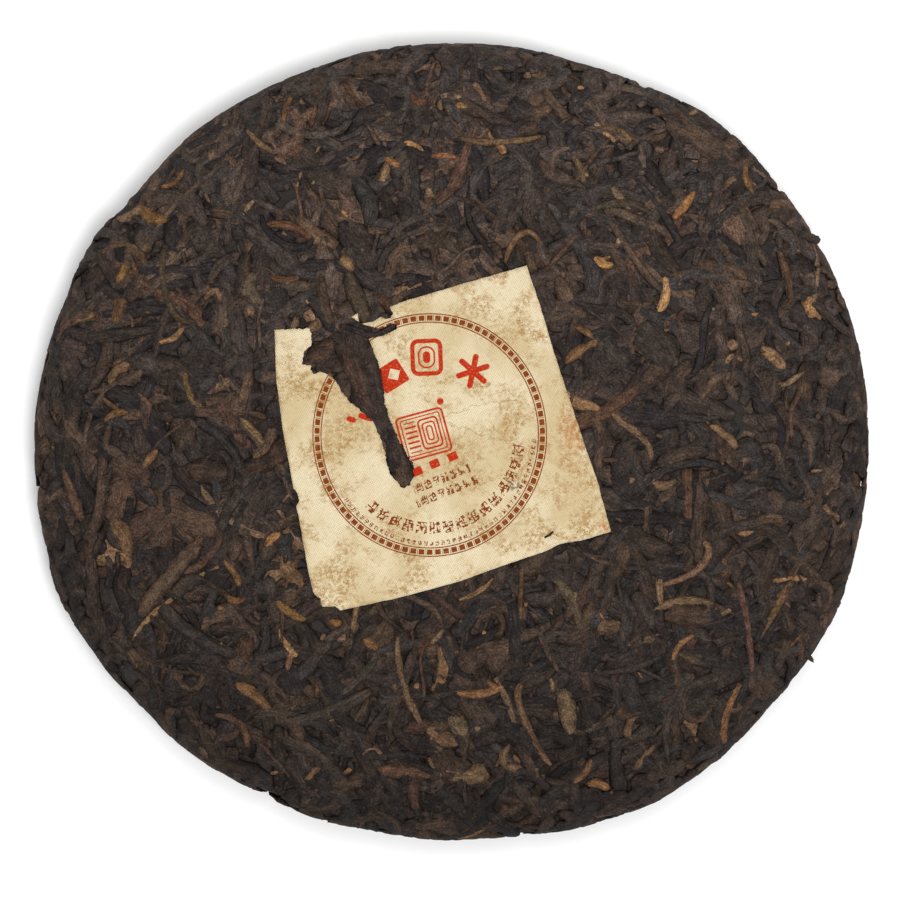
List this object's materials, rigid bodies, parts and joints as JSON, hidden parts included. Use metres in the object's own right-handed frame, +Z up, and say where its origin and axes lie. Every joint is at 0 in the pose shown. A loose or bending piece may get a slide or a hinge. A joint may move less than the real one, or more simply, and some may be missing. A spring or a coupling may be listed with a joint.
{
  "type": "pu erh tea cake",
  "caption": "Round domed cake of pressed dark tea leaves with a torn square paper ticket pressed into its top, a rounded rim, and a flat underside with a central dimple.",
  "frame": {"origin": "on the surface that the cake lies on, below the middle of its outline box", "axes": "+Z up, along the cake's shortest side; +X along its longest side; +Y towards the top of the view from above"},
  "size_m": [0.1068, 0.1022, 0.0176],
  "materials": {
    "tea_leaf": "pressed dry dark brown tea leaves, nearly matt, with reddish stems and a few ochre buds",
    "ticket_paper": "matt cream cotton paper with a cloth-pressed texture, brown tea stains, a brown ring and red print"
  },
  "bodies": {
    "root": {"tea_cake": "tea_leaf", "paper_ticket": "ticket_paper"}
  },
  "joints": []
}
